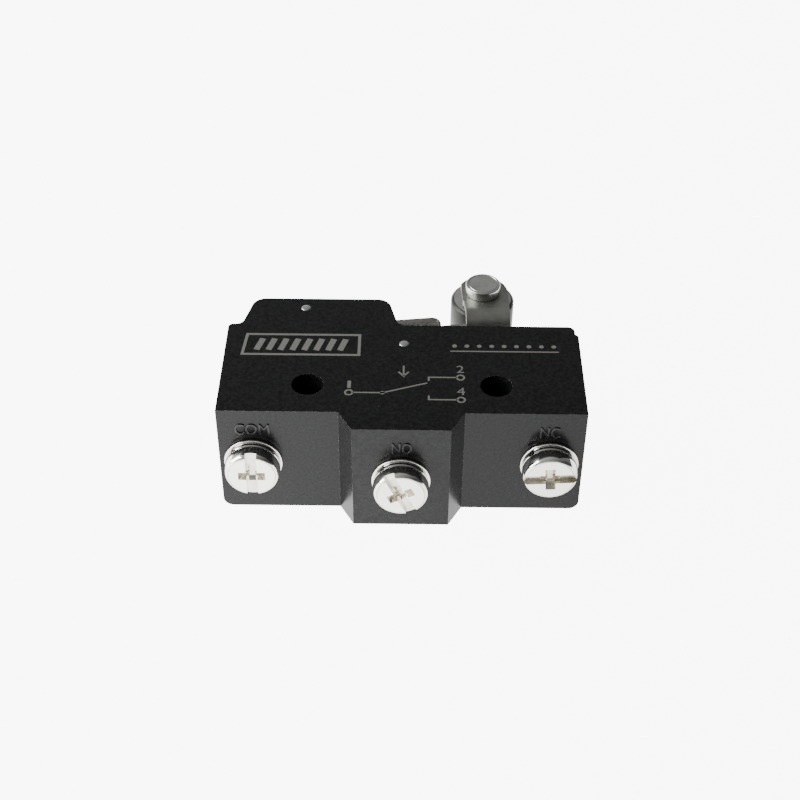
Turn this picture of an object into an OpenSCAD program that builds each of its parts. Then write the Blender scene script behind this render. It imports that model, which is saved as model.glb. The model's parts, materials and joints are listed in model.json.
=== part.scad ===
// Snap-action switch with a short hinged roller lever and three screw terminals.
// X runs along the case, Y from the terminals to the lever, Z through the thickness.
// The origin is midway between the two mounting holes, on the flat back face.

/* [Case] */
// Overall length of the case
case_len = 49.2; // [48.8:0.1:50]
// Thickness of the case
case_t = 17.45; // [17.2:0.05:18]
// Distance from the hole centres to the side terminal faces
side_face = 5.6; // [5.4:0.1:6]
// Distance from the hole centres to the middle terminal face
mid_face = 9.0; // [8.8:0.1:9.4]
// Half width of the middle terminal block at its face
mid_half = 6.5; // [6.3:0.1:6.8]
// Half width of the middle terminal block at its root
root_half = 8.4; // [8.2:0.1:8.8]
// Height of the lever side above the hole centres
top_y = 13.05; // [12.9:0.05:13.4]
// Height of the hinge cheeks above the hole centres
cheek_y = 19.05; // [18.8:0.05:19.4]
// Thickness of the moulded outer walls
wall_t = 2.0; // [1.8:0.1:2.2]
// Thickness of the wall behind each terminal face
face_t = 2.2; // [2:0.1:2.4]
// Thickness of the back cover's plate
cover_t = 2.5; // [2.3:0.1:2.7]
// Radius along the back edges of the two ends
edge_r = 1.4; // [1:0.1:1.8]

/* [Mounting] */
// Distance between the two mounting holes
hole_pitch = 25.4; // [25.2:0.1:25.6]
// Diameter of the mounting holes
hole_d = 4.36; // [4.2:0.02:4.5]
// Outer diameter of the moulded sleeve round each mounting hole
sleeve_d = 6.8; // [6.6:0.1:7]

/* [Lever] */
// Hinge pin's place along the case
hinge_x = -13.9; // [-14.1:0.1:-13.7]
// Hinge pin's height above the hole centres
hinge_y = 16.9; // [16.7:0.05:17.1]
// Slope of the lever when it is free
lever_slope = 7.5; // [7:0.1:8]
// Slope of the floor between the lever's ears
floor_slope = 3.0; // [2:0.5:4]
// Distance along the case from the hinge pin to the roller's axis
reach = 25.8; // [25.4:0.1:26]
// Height of the roller's axis above the hinge pin
rise = 10.6; // [10.4:0.05:10.8]
// Thickness of the lever's sheet
sheet_t = 1.0; // [0.9:0.05:1.1]
// Width of the lever at the hinge and across its two ears
lever_w = 8.0; // [7.6:0.1:8.2]
// Width of the neck between the wide part and the ears
neck_w = 4.6; // [4:0.2:5.4]
// Diameter of the roller
roller_d = 9.5; // [9.3:0.1:9.7]
// Side play between the roller and each ear
roller_gap = 0.2; // [0.15:0.05:0.3]
// Diameter of the hinge pin and of the cover rivet
pin_d = 1.4; // [1.3:0.05:1.6]

/* [Plunger] */
// Plunger's place along the case
plunger_x = -4.3; // [-4.6:0.1:-4]
// Diameter of the plunger pin
plunger_d = 3.0; // [2.8:0.1:3.2]
// Radius of the plunger's domed tip
dome_r = 2.2; // [2:0.1:2.6]

/* [Contacts] */
// Height of the snap blade's underside above the hole centres
blade_y = 7.1; // [7:0.05:7.2]
// Thickness of the snap blade
blade_t = 0.4; // [0.35:0.05:0.45]
// Width of the snap blade
blade_w = 7.0; // [6.4:0.2:7.4]
// Place of the contacts along the case
contact_x = 18.3; // [18:0.1:18.6]
// Distance the moving contact travels between the fixed contacts
contact_travel = 1.0; // [0.9:0.05:1]

/* [Terminal screws] */
// Distance from the middle of the case to each side screw
screw_x = 20.0; // [19.8:0.1:20.1]
// Height of the screws above the back face
screw_z = 8.6; // [8.3:0.05:8.8]
// Nominal thread diameter
thread_d = 4.0; // [3.9:0.1:4]
// Diameter of the screw head
head_d = 7.5; // [7:0.1:7.5]
// Height of the screw head
head_h = 1.9; // [1.7:0.1:2.2]
// Diameter of the flat washer
washer_d = 7.9; // [7.8:0.1:8.4]
// Thickness of the flat washer
washer_t = 0.5; // [0.4:0.1:0.8]
// Thickness of the spring washer when it is tight
spring_t = 0.8; // [0.7:0.1:1]

/* [Hidden] */
$fn = 72;
eps = 0.01;
cut = 1;
mid_z = case_t / 2;
half_len = case_len / 2;
front_z = case_t - wall_t;
arc_n = 9;

// Cover and cavity
cover_low = -side_face + face_t;
joint_gap = 0.05;
cavity_top = top_y - 1.85;
top_r = 1;
plain_r = 0.7;
cavity_half = half_len - wall_t;
mid_cavity_half = 4.6;
barrier_x = 6.2;
barrier_t = 1.2;
barrier_h = 6.0;
step_in = 0.45;
step_y = top_y - 2.1;

// Lever slot and hinge cheeks
slot_half = lever_w / 2 + 0.4;
slot_left = -17.6;
cheek_left = -21.65;
cheek_right = -1.7;
cheek_lean = 14;
corner_r = 2.0;
foot_r = 1.2;

// Hinge pin and cover rivet
rivet_x = 0.2;
rivet_y = 8.95;
pin_proud = 0.15;
pin_clear = 0.05;
pin_boss_d = 2.6;

// Lever
knuckle_bore = pin_d + 2 * pin_clear;
knuckle_d = knuckle_bore + 2 * sheet_t;
roller_w = lever_w - 2 * sheet_t - 2 * roller_gap;
roller_chamfer = 0.35;
axle_d = 3.0;
axle_head_d = 5.2;
axle_head_t = 1.5;
axle_edge_r = 0.35;
fold_r = 2.6;
floor_gap = 0.75;
wide_end = 19.5;
strip_start = -0.25;
wide_corner_r = 1.5;
floor_low = roller_d / 2 + floor_gap + sheet_t;
floor_left = -2.85;
floor_right = 3.65;
ear_left = -3.15;
ear_round = 3.75;

// Plunger
bush_d = 5.2;
bush_flange_d = 6.4;
bush_top = top_y + 1.1;
bush_flange_t = 0.7;
lever_touch = 0.08;
lever_arm = plunger_x - hinge_x;
under_strip = knuckle_bore / 2;
dome_rise = (lever_arm * sin(lever_slope) + under_strip - dome_r - lever_touch) / cos(lever_slope);
dome_y = hinge_y + dome_rise;
foot_y = blade_y + blade_t + 1.1;
foot_d = 4.6;
foot_t = 1.5;
foot_floor = 0.6;

// Contact works
strip_t = 1.2;
arm_t = 1.0;
terminal_w = 7.6;
shelf_top = blade_y - 0.05;
terminal_end = cavity_half - 0.4;
plate_half = 2.7;
contact_gap = 0.1;
contact_d = 3.0;
moving_t = 0.8;
nc_face_y = blade_y + blade_t + moving_t + contact_gap;
no_face_y = blade_y - moving_t - contact_travel - contact_gap;
blade_start = -21.2;
blade_rivet_x = -19.4;
blade_lift = 0.25;
slit_w = 0.8;
slit_z = 1.7;
slit_start = -15.4;
slit_end = 13.8;
plate_right = plate_half - screw_x;
plate_mid = 3.4;
rivet_shank_d = 1.8;
rivet_head_d = 3.0;
rivet_head_t = 0.6;
nc_head_t = 0.7;
no_head_t = 0.55;
contact_margin = 1.9;
blade_end = contact_x + contact_margin;
nc_arm_y = nc_face_y + nc_head_t;
no_arm_top = no_face_y - no_head_t;

// Screws
collar_d = 6.0;
bore_d = thread_d + 0.1;
shank_len = 5.6;
end_gap = 0.4;
slot_w = 1.1;
slot_depth = 1.1;
cross_len = 4.0;
cross_w = 0.9;
cross_depth = 1.4;
head_edge_r = 0.45;
spring_d = head_d - 0.1;
washer_bore_d = thread_d + 0.3;
stack_t = washer_t + spring_t;
spring_cut = 0.7;
split_turn = 130;
turn_com = 90;
turn_no = 116;
turn_nc = 4;

// Points along a circular arc from angle a to angle b
function arc(x, y, r, a, b) =
    [for (i = [0 : arc_n]) [x + r * cos(a + (b - a) * i / arc_n), y + r * sin(a + (b - a) * i / arc_n)]];

// A bar along Y, at a place in X and Z, from one height to another
module along_y(x, z, y_low, y_high, d)
    translate([x, y_high, z]) rotate([90, 0, 0]) cylinder(d = d, h = y_high - y_low);

// A flat outline in X and Y, given its thickness and centred on a height in Z
module slab(w, z = mid_z)
    translate([0, 0, z - w / 2]) linear_extrude(w) children();

// A rectangle given by two opposite corners
module patch(x_low, y_low, x_high, y_high)
    translate([x_low, y_low]) square([x_high - x_low, y_high - y_low]);

// Outline of the case without its hinge cheeks
module case_outline()
    polygon(concat(
        [[-half_len, -side_face], [-root_half, -side_face], [-mid_half, -mid_face]],
        [[mid_half, -mid_face], [root_half, -side_face], [half_len, -side_face]],
        [[half_len, step_y], [half_len - step_in, step_y + step_in]],
        arc(half_len - step_in - top_r, top_y - top_r, top_r, 0, 90),
        arc(-half_len + plain_r, top_y - plain_r, plain_r, 90, 180)));

// Place of a cheek's sloping flank at a given height, for the flank whose top corner is at x
function flank_x(x, side, y) =
    x - side * (corner_r - corner_r * cos(cheek_lean))
    + side * (cheek_y - corner_r + corner_r * sin(cheek_lean) - y) * tan(cheek_lean);

// Centre of the rounded foot of a flank
function foot_x(x, side) =
    flank_x(x, side, top_y + foot_r - foot_r * sin(cheek_lean)) + side * foot_r * cos(cheek_lean);

// Outline of one hinge cheek, with its foot sunk into the case
module cheek_outline() {
    right = foot_x(cheek_right, 1);
    left = foot_x(cheek_left, -1);
    polygon(concat(
        arc(cheek_left + corner_r, cheek_y - corner_r, corner_r, 180 - cheek_lean, 90),
        arc(cheek_right - corner_r, cheek_y - corner_r, corner_r, 90, cheek_lean),
        arc(right, top_y + foot_r, foot_r, 180 + cheek_lean, 270),
        [[right, top_y - cut], [left, top_y - cut]],
        arc(left, top_y + foot_r, foot_r, 270, 360 - cheek_lean)));
}

// Both outlines, cut off at the ends of the case
module full_outline()
    intersection() {
        union() {
            case_outline();
            cheek_outline();
        }
        patch(-half_len, -mid_face, half_len, cheek_y);
    }

// Section across the length, with the two back edges rounded
module end_profile()
    translate([0, cheek_y + cut, 0]) rotate([90, 0, 0]) linear_extrude(cheek_y + mid_face + 2 * cut)
        polygon(concat(
            arc(-half_len + edge_r, edge_r, edge_r, 180, 270),
            arc(half_len - edge_r, edge_r, edge_r, 270, 360),
            [[half_len, case_t], [-half_len, case_t]]));

// Outline of the hollow inside
module cavity_outline() {
    patch(-cavity_half, cover_low, cavity_half, cavity_top);
    patch(-mid_cavity_half, -mid_face + face_t, mid_cavity_half, cover_low + eps);
}

// The two mounting holes, at a given diameter
module at_holes(d, z_low, z_high)
    for (side = [-1, 1]) translate([side * hole_pitch / 2, 0, z_low]) cylinder(d = d, h = z_high - z_low);

// The holes for the hinge pin and the cover rivet
module pin_holes()
    for (p = [[hinge_x, hinge_y], [rivet_x, rivet_y]])
        translate([p[0], p[1], -cut]) cylinder(d = pin_d, h = case_t + 2 * cut);

module case_shell() color("#191a1b") difference() {
    union() {
        difference() {
            intersection() {
                linear_extrude(case_t) full_outline();
                end_profile();
            }
            // Bed of the back cover, and the back cheek's place
            translate([-half_len - cut, cover_low, -cut])
                cube([case_len + 2 * cut, 2 * cheek_y, cover_t + cut]);
            translate([-half_len - cut, top_y, -cut])
                cube([case_len + 2 * cut, cheek_y, mid_z - slot_half + cut]);
            // Hollow
            translate([0, 0, -cut]) linear_extrude(front_z + cut) cavity_outline();
        }
        // Sleeves round the mounting holes, boss of the rivet, and two barriers
        at_holes(sleeve_d, cover_t, front_z + eps);
        translate([rivet_x, rivet_y, cover_t]) cylinder(d = pin_boss_d, h = front_z - cover_t + eps);
        for (side = [-1, 1]) translate([side * barrier_x - barrier_t / 2, cover_low - eps, cover_t])
            cube([barrier_t, barrier_h, front_z - cover_t + eps]);
    }
    // Slot for the lever
    translate([slot_left, top_y, mid_z - slot_half]) cube([half_len, cheek_y, 2 * slot_half]);
    at_holes(hole_d, -cut, case_t + cut);
    pin_holes();
    along_y(plunger_x, mid_z, cavity_top - cut, top_y + cut, bush_d);
    for (side = [-1, 1]) along_y(side * screw_x, screw_z, -side_face - cut, cover_low + eps, collar_d);
    along_y(0, screw_z, -mid_face - cut, -mid_face + face_t + eps, collar_d);
}

module back_cover() color("#151616") difference() {
    intersection() {
        union() {
            intersection() {
                linear_extrude(cover_t - joint_gap) full_outline();
                translate([-half_len, cover_low + joint_gap, -cut]) cube([case_len, 2 * cheek_y, case_t]);
            }
            // Tongue that closes the middle terminal's block
            translate([-mid_cavity_half + joint_gap, -mid_face + face_t + joint_gap, 0])
                cube([2 * (mid_cavity_half - joint_gap), mid_face, cover_t - joint_gap]);
            // Back cheek
            intersection() {
                linear_extrude(mid_z - slot_half - joint_gap) full_outline();
                translate([-half_len, top_y + joint_gap, -cut]) cube([case_len, cheek_y, case_t]);
            }
        }
        end_profile();
    }
    at_holes(hole_d, -cut, case_t);
    pin_holes();
}

// A pin through the case, with its end just proud of the front
module through_pin(x, y) translate([x, y, 0]) cylinder(d = pin_d, h = case_t + pin_proud);

module hinge_pin() color("#b9bbbc") through_pin(hinge_x, hinge_y);

module cover_rivet() color("#a9abac") through_pin(rivet_x, rivet_y);

module plunger_bush() color("#8a6a3a") difference() {
    union() {
        along_y(plunger_x, mid_z, cavity_top - bush_flange_t, bush_top, bush_d);
        along_y(plunger_x, mid_z, cavity_top - bush_flange_t, cavity_top, bush_flange_d);
    }
    along_y(plunger_x, mid_z, 0, cheek_y, plunger_d + 2 * pin_clear);
}

// Collar of a terminal, which fills the hole in the case and takes the screw
module collar(x, y_face) along_y(x, screw_z, y_face, y_face + face_t + eps, collar_d);

// Tapped hole of a terminal, as deep as the screw reaches
module tapped(x, y_face) along_y(x, screw_z, y_face - cut, y_face + shank_len - stack_t + end_gap, bore_d);

module com_terminal() color("#b08d4a") difference() {
    union() {
        slab(terminal_w) union() {
            patch(-terminal_end, cover_low, plate_right, cover_low + strip_t);
            patch(-terminal_end, cover_low, -terminal_end + strip_t, shelf_top);
            patch(-terminal_end, shelf_top - strip_t, plate_right, shelf_top);
        }
        collar(-screw_x, -side_face);
    }
    tapped(-screw_x, -side_face);
    along_y(blade_rivet_x, mid_z, shelf_top - strip_t - cut, blade_y + cut, rivet_shank_d);
}

module nc_terminal() color("#b08d4a") difference() {
    union() {
        slab(terminal_w) union() {
            patch(screw_x - plate_half, cover_low, terminal_end, cover_low + strip_t);
            patch(terminal_end - arm_t, cover_low, terminal_end, nc_arm_y + arm_t);
            patch(contact_x - contact_margin, nc_arm_y, terminal_end, nc_arm_y + arm_t);
        }
        collar(screw_x, -side_face);
    }
    tapped(screw_x, -side_face);
    along_y(contact_x, mid_z, nc_arm_y - cut, nc_arm_y + arm_t + cut, rivet_shank_d);
}

module no_terminal() color("#b08d4a") difference() {
    low = -mid_face + face_t;
    union() {
        slab(terminal_w) union() {
            patch(-plate_mid, low, plate_mid, low + strip_t);
            patch(plate_mid - arm_t, low, plate_mid, no_arm_top);
            patch(plate_mid - arm_t, no_arm_top - arm_t, contact_x + contact_margin, no_arm_top);
        }
        collar(0, -mid_face);
    }
    tapped(0, -mid_face);
    along_y(contact_x, mid_z, no_arm_top - arm_t - cut, no_arm_top + cut, rivet_shank_d);
}

// A riveted contact: its face, the side of the strip it stands on, and its tail
module fixed_contact(y_face, y_strip, y_tail) {
    along_y(contact_x, mid_z, min(y_face, y_strip), max(y_face, y_strip), contact_d);
    along_y(contact_x, mid_z, min(y_strip, y_tail), max(y_strip, y_tail), rivet_shank_d);
}

module nc_contact() color("#c9ccd0") fixed_contact(nc_face_y, nc_arm_y, nc_arm_y + arm_t);

module no_contact() color("#c9ccd0") fixed_contact(no_face_y, no_arm_top, no_arm_top - arm_t);

module blade_rivet() color("#b9a070") {
    shelf_low = shelf_top - strip_t;
    head_low = blade_y + blade_t + blade_lift;
    along_y(blade_rivet_x, mid_z, shelf_low, head_low, rivet_shank_d);
    along_y(blade_rivet_x, mid_z, head_low, head_low + rivet_head_t, rivet_head_d);
    along_y(blade_rivet_x, mid_z, shelf_low - rivet_head_t, shelf_low, rivet_head_d);
}

module snap_blade() color("#b5743c") difference() {
    slab(blade_w) patch(blade_start, blade_y, blade_end, blade_y + blade_t);
    // Two slits part the middle tongue from the outer leaves
    for (side = [-1, 1]) translate([slit_start, blade_y - cut, mid_z + side * slit_z - slit_w / 2])
        cube([slit_end - slit_start, blade_t + 2 * cut, slit_w]);
    along_y(blade_rivet_x, mid_z, blade_y - cut, blade_y + cut, rivet_shank_d + 2 * blade_lift);
    along_y(contact_x, mid_z, blade_y - cut, blade_y + cut, rivet_shank_d);
}

module moving_contact() color("#c9ccd0") {
    along_y(contact_x, mid_z, blade_y - moving_t, blade_y, contact_d);
    along_y(contact_x, mid_z, blade_y, blade_y + blade_t, rivet_shank_d);
    along_y(contact_x, mid_z, blade_y + blade_t, blade_y + blade_t + moving_t, contact_d);
}

module plunger_pin() color("#c4c6c8") {
    along_y(plunger_x, mid_z, foot_y + foot_floor, dome_y, plunger_d);
    intersection() {
        translate([plunger_x, dome_y, mid_z]) sphere(r = dome_r);
        along_y(plunger_x, mid_z, dome_y - eps, dome_y + dome_r + cut, plunger_d);
    }
}

module plunger_foot() color("#7d2f22") difference() {
    along_y(plunger_x, mid_z, foot_y, foot_y + foot_t, foot_d);
    along_y(plunger_x, mid_z, foot_y + foot_floor, foot_y + foot_t + cut, plunger_d);
}

// Places the lever's own frame on its hinge pin
module on_hinge() translate([hinge_x, hinge_y, 0]) children();

// Places the ears' own frame on the roller's axis, level with the floor between them
module on_axis() on_hinge() translate([reach, rise, mid_z]) rotate([0, 0, floor_slope]) children();

// Point of the lever's frame that lies at a place in the ears' frame
function from_axis(x, y) =
    [reach + x * cos(floor_slope) - y * sin(floor_slope), rise + x * sin(floor_slope) + y * cos(floor_slope)];

// Sides of the lever's strip seen edge on, from inside the knuckle to the end of the ears' floor
strip_low = under_strip / cos(lever_slope);
strip_side = [
    [strip_start, strip_low + strip_start * tan(lever_slope)],
    [wide_end, strip_low + wide_end * tan(lever_slope)],
    from_axis(floor_left, -floor_low),
    from_axis(floor_right, -floor_low)];
strip_top = [
    from_axis(floor_right, sheet_t - floor_low),
    from_axis(floor_left, sheet_t - floor_low),
    strip_side[1] + [0, sheet_t],
    strip_side[0] + [0, sheet_t]];

// The strip seen from above: wide part with rounded corners, and the neck
module strip_plan() {
    half = lever_w / 2;
    patch(strip_start, -half, wide_end - wide_corner_r, half);
    patch(strip_start, -half + wide_corner_r, wide_end, half - wide_corner_r);
    for (side = [-1, 1]) translate([wide_end - wide_corner_r, side * (half - wide_corner_r)])
        circle(r = wide_corner_r);
    patch(wide_end - wide_corner_r, -neck_w / 2, reach, neck_w / 2);
}

// Outline of both ears, with a round end about the roller's axis and a flat on the hinge side
module ear_outline() intersection() {
    union() {
        polygon([[floor_left, -floor_low - cut], [floor_right, -floor_low - cut],
                 [floor_right, fold_r - floor_low], [ear_round, 0],
                 [ear_left, 0], [floor_left, fold_r - floor_low]]);
        circle(r = ear_round);
    }
    patch(ear_left, -floor_low - cut, ear_round, ear_round);
}

// Section of the folded sheet, with height first and width second
module channel_section() {
    half = lever_w / 2;
    fold_y = fold_r - floor_low;
    inner_r = fold_r - sheet_t;
    polygon(concat(
        [[ear_round + cut, -half]],
        arc(fold_y, fold_r - half, fold_r, 270, 180),
        arc(fold_y, half - fold_r, fold_r, 180, 90),
        [[ear_round + cut, half], [ear_round + cut, half - sheet_t]],
        arc(fold_y, half - fold_r, inner_r, 90, 180),
        arc(fold_y, fold_r - half, inner_r, 180, 270),
        [[ear_round + cut, sheet_t - half]]));
}

// Floor, folds and ears, as one folded channel
module ears() intersection() {
    rotate([90, 0, 90]) translate([0, 0, -lever_w]) linear_extrude(2 * lever_w) channel_section();
    slab(2 * lever_w, 0) ear_outline();
}

module lever() color("#8e9091") difference() {
    union() {
        on_hinge() {
            translate([0, 0, mid_z - lever_w / 2]) cylinder(d = knuckle_d, h = lever_w);
            intersection() {
                slab(lever_w) polygon(concat(strip_side, strip_top));
                translate([0, 0, mid_z]) rotate([90, 0, 0]) translate([0, 0, -cheek_y])
                    linear_extrude(2 * cheek_y) strip_plan();
            }
        }
        on_axis() ears();
    }
    on_hinge() translate([0, 0, -cut]) cylinder(d = knuckle_bore, h = case_t + 2 * cut);
    on_axis() translate([0, 0, -case_t]) cylinder(d = axle_d, h = 2 * case_t);
}

module roller_rivet() color("#9a9c9d") on_axis() {
    half = lever_w / 2;
    rotate_extrude() polygon(concat(
        [[0, -half - axle_head_t]],
        arc(axle_head_d / 2 - axle_edge_r, axle_edge_r - half - axle_head_t, axle_edge_r, -90, 0),
        [[axle_head_d / 2, -half], [axle_d / 2, -half], [axle_d / 2, half], [axle_head_d / 2, half]],
        arc(axle_head_d / 2 - axle_edge_r, half + axle_head_t - axle_edge_r, axle_edge_r, 0, 90),
        [[0, half + axle_head_t]]));
}

module roller() color("#a3a5a6") on_axis() rotate_extrude() polygon([
    [axle_d / 2 + pin_clear, -roller_w / 2],
    [roller_d / 2 - roller_chamfer, -roller_w / 2],
    [roller_d / 2, roller_chamfer - roller_w / 2],
    [roller_d / 2, roller_w / 2 - roller_chamfer],
    [roller_d / 2 - roller_chamfer, roller_w / 2],
    [axle_d / 2 + pin_clear, roller_w / 2]]);

// Places a screw's own frame at its terminal, with Z pointing out of the face
module at_terminal(x, y_face) translate([x, -y_face, screw_z]) rotate([90, 0, 0]) children();

module screw(turn) {
    head_low = stack_t;
    head_top = stack_t + head_h;
    difference() {
        union() {
            translate([0, 0, stack_t - shank_len]) cylinder(d = thread_d, h = shank_len);
            rotate_extrude() polygon(concat(
                [[0, head_low], [head_d / 2, head_low]],
                arc(head_d / 2 - head_edge_r, head_top - head_edge_r, head_edge_r, 0, 90),
                [[0, head_top]]));
        }
        rotate(turn) translate([-head_d, -slot_w / 2, head_top - slot_depth])
            cube([2 * head_d, slot_w, slot_depth + cut]);
        for (a = [0, 90]) rotate(turn + a) translate([-cross_len / 2, -cross_w / 2, head_top - cross_depth])
            cube([cross_len, cross_w, cross_depth + cut]);
    }
}

module flat_washer() difference() {
    cylinder(d = washer_d, h = washer_t);
    translate([0, 0, -cut]) cylinder(d = washer_bore_d, h = washer_t + 2 * cut);
}

module spring_washer() translate([0, 0, washer_t]) difference() {
    cylinder(d = spring_d, h = spring_t);
    translate([0, 0, -cut]) cylinder(d = washer_bore_d, h = spring_t + 2 * cut);
    rotate(split_turn) translate([0, -spring_cut / 2, -cut]) cube([head_d, spring_cut, spring_t + 2 * cut]);
}

module com_screw() color("#d8d6cd") at_terminal(-screw_x, side_face) screw(turn_com);
module com_spring_washer() color("#8f8d86") at_terminal(-screw_x, side_face) spring_washer();
module com_flat_washer() color("#cfcdc5") at_terminal(-screw_x, side_face) flat_washer();
module no_screw() color("#d8d6cd") at_terminal(0, mid_face) screw(turn_no);
module no_spring_washer() color("#8f8d86") at_terminal(0, mid_face) spring_washer();
module no_flat_washer() color("#cfcdc5") at_terminal(0, mid_face) flat_washer();
module nc_screw() color("#d8d6cd") at_terminal(screw_x, side_face) screw(turn_nc);
module nc_spring_washer() color("#8f8d86") at_terminal(screw_x, side_face) spring_washer();
module nc_flat_washer() color("#cfcdc5") at_terminal(screw_x, side_face) flat_washer();

case_shell();
back_cover();
hinge_pin();
cover_rivet();
plunger_bush();
com_terminal();
no_terminal();
nc_terminal();
blade_rivet();
no_contact();
nc_contact();
snap_blade();
moving_contact();
plunger_pin();
plunger_foot();
lever();
roller_rivet();
roller();
com_screw();
com_spring_washer();
com_flat_washer();
no_screw();
no_spring_washer();
no_flat_washer();
nc_screw();
nc_spring_washer();
nc_flat_washer();
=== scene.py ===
"""Looks of a lever micro switch: moulded case, print, terminal screws, lever and roller.

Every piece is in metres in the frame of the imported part: X along the case, Y towards the lever,
Z up out of the printed face.
"""
import json
import math

import bmesh
import bpy
from mathutils import Matrix, Vector


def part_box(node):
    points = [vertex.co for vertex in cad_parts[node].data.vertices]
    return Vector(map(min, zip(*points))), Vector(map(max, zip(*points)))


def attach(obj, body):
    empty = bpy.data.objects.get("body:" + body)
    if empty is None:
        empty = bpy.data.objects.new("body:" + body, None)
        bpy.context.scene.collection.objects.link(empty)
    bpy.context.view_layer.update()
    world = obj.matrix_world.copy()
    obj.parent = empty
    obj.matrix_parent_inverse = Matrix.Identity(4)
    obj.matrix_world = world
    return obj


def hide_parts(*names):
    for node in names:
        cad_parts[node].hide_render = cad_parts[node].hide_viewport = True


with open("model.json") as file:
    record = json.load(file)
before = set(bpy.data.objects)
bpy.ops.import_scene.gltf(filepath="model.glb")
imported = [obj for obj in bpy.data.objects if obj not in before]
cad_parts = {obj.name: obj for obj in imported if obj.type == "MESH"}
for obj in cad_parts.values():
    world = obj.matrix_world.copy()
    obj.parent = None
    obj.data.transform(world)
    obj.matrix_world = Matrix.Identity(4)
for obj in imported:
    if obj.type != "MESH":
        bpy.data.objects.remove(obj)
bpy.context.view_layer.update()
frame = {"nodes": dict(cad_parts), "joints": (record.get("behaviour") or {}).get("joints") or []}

MM = 0.001
TERMINALS = ("com", "no", "nc")

# ---------------------------------------------------------------- places and sizes, from the frame
case_low, case_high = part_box("case_shell")
FACE_Z = case_high.z
JOINTS = {joint["name"]: joint for joint in frame["joints"]}
ROLLER_AXIS = Vector(JOINTS["roller_spin"]["pos_m"])

# ---------------------------------------------------------------- sizes of the finish
EDGE_WIDTH = 0.09 * MM          # softening of the moulded edges
SHEET_EDGE = 0.07 * MM          # softening of the lever's cut edges
WELD = 0.002 * MM               # corners of a CAD mesh that lie closer than this are one
FLAT_ANGLE = 0.6                # degrees within which neighbouring faces are one

THREAD_D = 4.0 * MM
THREAD_PITCH = 0.7 * MM
THREAD_DEPTH = 0.38 * MM
THREAD_START = 0.5 * MM         # plain length at the screw's point
THREAD_STOP = 0.2 * MM          # plain length under the head
WASHER_BORE = THREAD_D + 0.3 * MM
SCREW_TURN = {"com": 90.0, "no": 116.0, "nc": 4.0}      # degrees
RECESS_MARGIN = 0.45 * MM       # rim of the head that is left out when the recess is painted
SPRING_RISE = 0.18 * MM
SPRING_OPENING = 0.035          # share of the ring that is cut away
SPRING_TURN = 128.0             # degrees at which the ring starts, beside its opening

PIN_DOME = 0.24 * MM
INK_RAISED = 0.012 * MM
LETTER_RAISED = 0.17 * MM
LETTER_H = 1.9 * MM
LETTER_EDGE = 0.1 * MM          # rounding of the raised letters
LETTER_BOLD = 0.06 * MM         # widening of their strokes
TEXT_SIZE = 1.4                 # size of a text against the height of its capitals
PRINT_WELD = 0.001 * MM         # corners of the print that lie closer than this are one


# ---------------------------------------------------------------- mesh helpers
def add_object(name, mesh):
    piece = bpy.data.objects.new(name, mesh)
    bpy.context.scene.collection.objects.link(piece)
    return piece


def finish_piece(piece, body, material, replaced=()):
    """Gives a piece its material, slot and body, and hides the CAD nodes that it stands for."""
    if material is not None:
        piece.data.materials.clear()
        piece.data.materials.append(material)
    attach(piece, body)
    if replaced:
        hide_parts(*replaced)
    return piece


def settle(piece):
    """Turns a piece and its modifiers into a plain mesh."""
    graph = bpy.context.evaluated_depsgraph_get()
    graph.update()
    mesh = bpy.data.meshes.new_from_object(piece.evaluated_get(graph))
    mesh.name = piece.name
    piece.modifiers.clear()
    if piece.type == "MESH":
        piece.data = mesh
        return piece
    name = piece.name
    bpy.data.objects.remove(piece)
    return add_object(name, mesh)


def smooth(mesh, angle=35.0):
    mesh.shade_smooth()
    mesh.set_sharp_from_angle(angle=math.radians(angle))


def soften_copy(node, name, width, material, edge_material, angle=28.0):
    """A copy of a CAD node, welded, with its sharp edges rounded in a material of their own."""
    piece = add_object(name, frame["nodes"][node].data.copy())
    piece.data.materials.clear()
    for each in (material, edge_material):
        piece.data.materials.append(each)
    shell = bmesh.new()
    shell.from_mesh(piece.data)
    bmesh.ops.remove_doubles(shell, verts=shell.verts, dist=WELD)
    bmesh.ops.dissolve_limit(
        shell, angle_limit=math.radians(FLAT_ANGLE), verts=shell.verts, edges=shell.edges)
    shell.to_mesh(piece.data)
    shell.free()
    bevel = piece.modifiers.new("soft edges", "BEVEL")
    bevel.width = width
    bevel.segments = 2
    bevel.limit_method = "ANGLE"
    bevel.angle_limit = math.radians(angle)
    bevel.miter_outer = "MITER_ARC"
    bevel.material = 1
    flatten = piece.modifiers.new("flat faces", "WEIGHTED_NORMAL")
    flatten.mode = "FACE_AREA"
    flatten.weight = 100
    flatten.keep_sharp = True
    smooth(piece.data, angle)
    return settle(piece)


def paint_faces(piece, material, chosen):
    """Gives a second material to the faces for which the test on centre and normal holds."""
    piece.data.materials.append(material)
    for face in piece.data.polygons:
        if chosen(face.center, face.normal):
            face.material_index = len(piece.data.materials) - 1


def arc(centre, radius, start, end, steps):
    """Points of a profile's rounded corner, angles in degrees."""
    points = []
    for i in range(steps + 1):
        turn = math.radians(start + (end - start) * i / steps)
        points.append((centre[0] + radius * math.cos(turn), centre[1] + radius * math.sin(turn)))
    return points


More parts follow.
